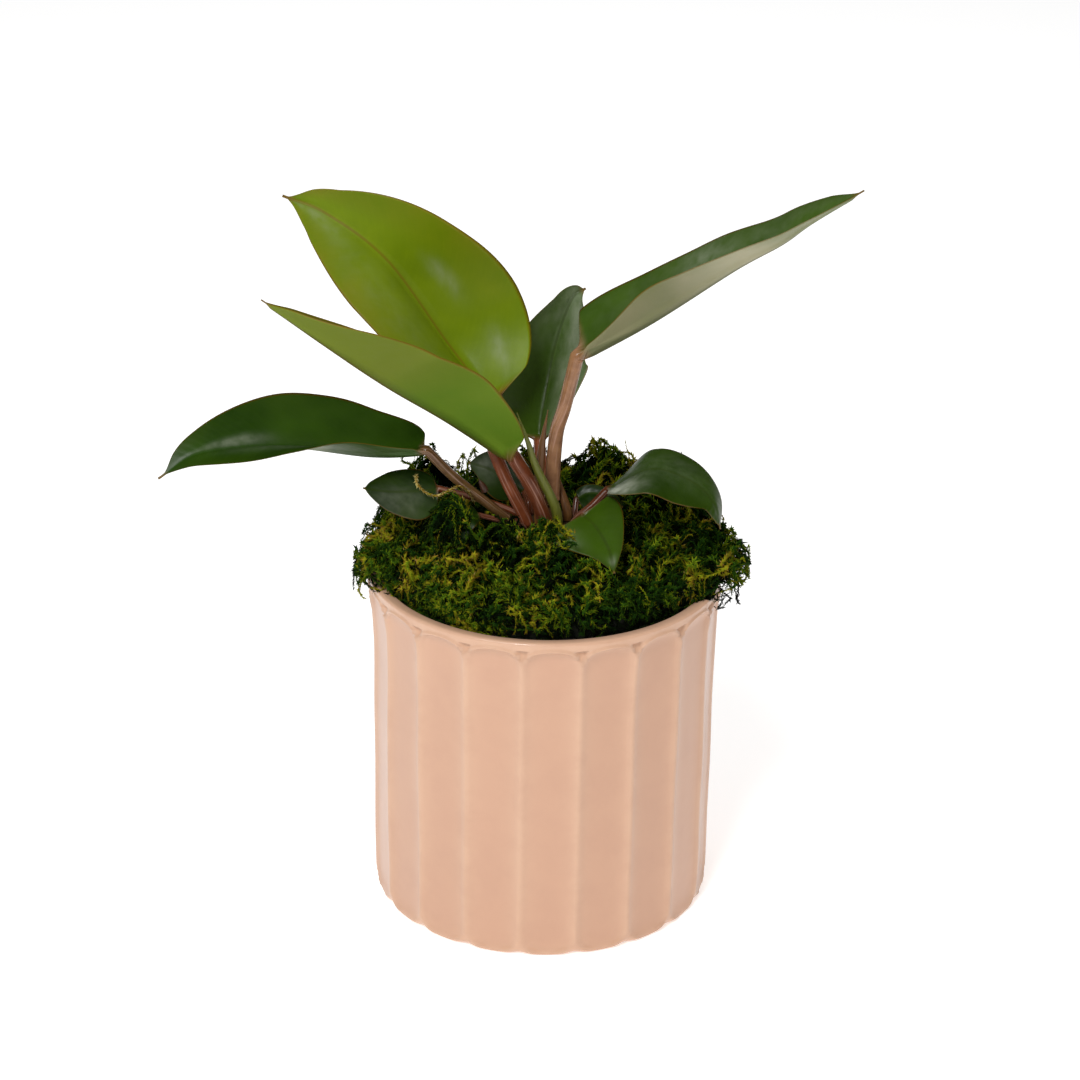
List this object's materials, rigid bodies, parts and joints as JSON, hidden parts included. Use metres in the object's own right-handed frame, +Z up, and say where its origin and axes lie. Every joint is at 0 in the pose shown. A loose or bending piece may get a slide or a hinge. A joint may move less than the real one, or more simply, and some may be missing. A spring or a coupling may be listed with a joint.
{
  "type": "potted philodendron",
  "caption": "Young philodendron with broad pointed leaves, dressed with moss, in a black grow pot set inside a round fluted glazed ceramic pot.",
  "frame": {"origin": "centre of the ceramic pot's flat underside, on the pot's upright axis", "axes": "+Z up along the pot's axis, -Y towards the front, +X to the right, where the longest raised leaf points"},
  "size_m": [0.2466, 0.1321, 0.2803],
  "materials": {
    "pink_glaze": "glossy",
    "black_plastic": "matte",
    "potting_mix": "rough",
    "moss": "rough",
    "stem": "satin",
    "bright_leaf": "satin",
    "olive_leaf": "satin",
    "green_leaf": "satin",
    "sheath": "satin",
    "bud": "satin"
  },
  "bodies": {
    "root": {"ceramic_pot": "pink_glaze", "grow_pot": "black_plastic", "potting_mix": "potting_mix", "moss": "moss", "crown_stem": "stem", "tall_leaf": "bright_leaf", "left_front_leaf": "olive_leaf", "left_low_leaf": "green_leaf", "right_long_leaf": "green_leaf", "back_leaf": "green_leaf", "right_small_leaf": "green_leaf", "shaded_leaf": "green_leaf", "front_small_leaf": "green_leaf", "left_small_leaf": "green_leaf", "behind_leaf": "green_leaf", "sunken_leaf": "green_leaf", "tall_sheath": "sheath", "green_sheath": "sheath", "short_sheath": "sheath", "red_bud": "bud"}
  },
  "joints": []
}
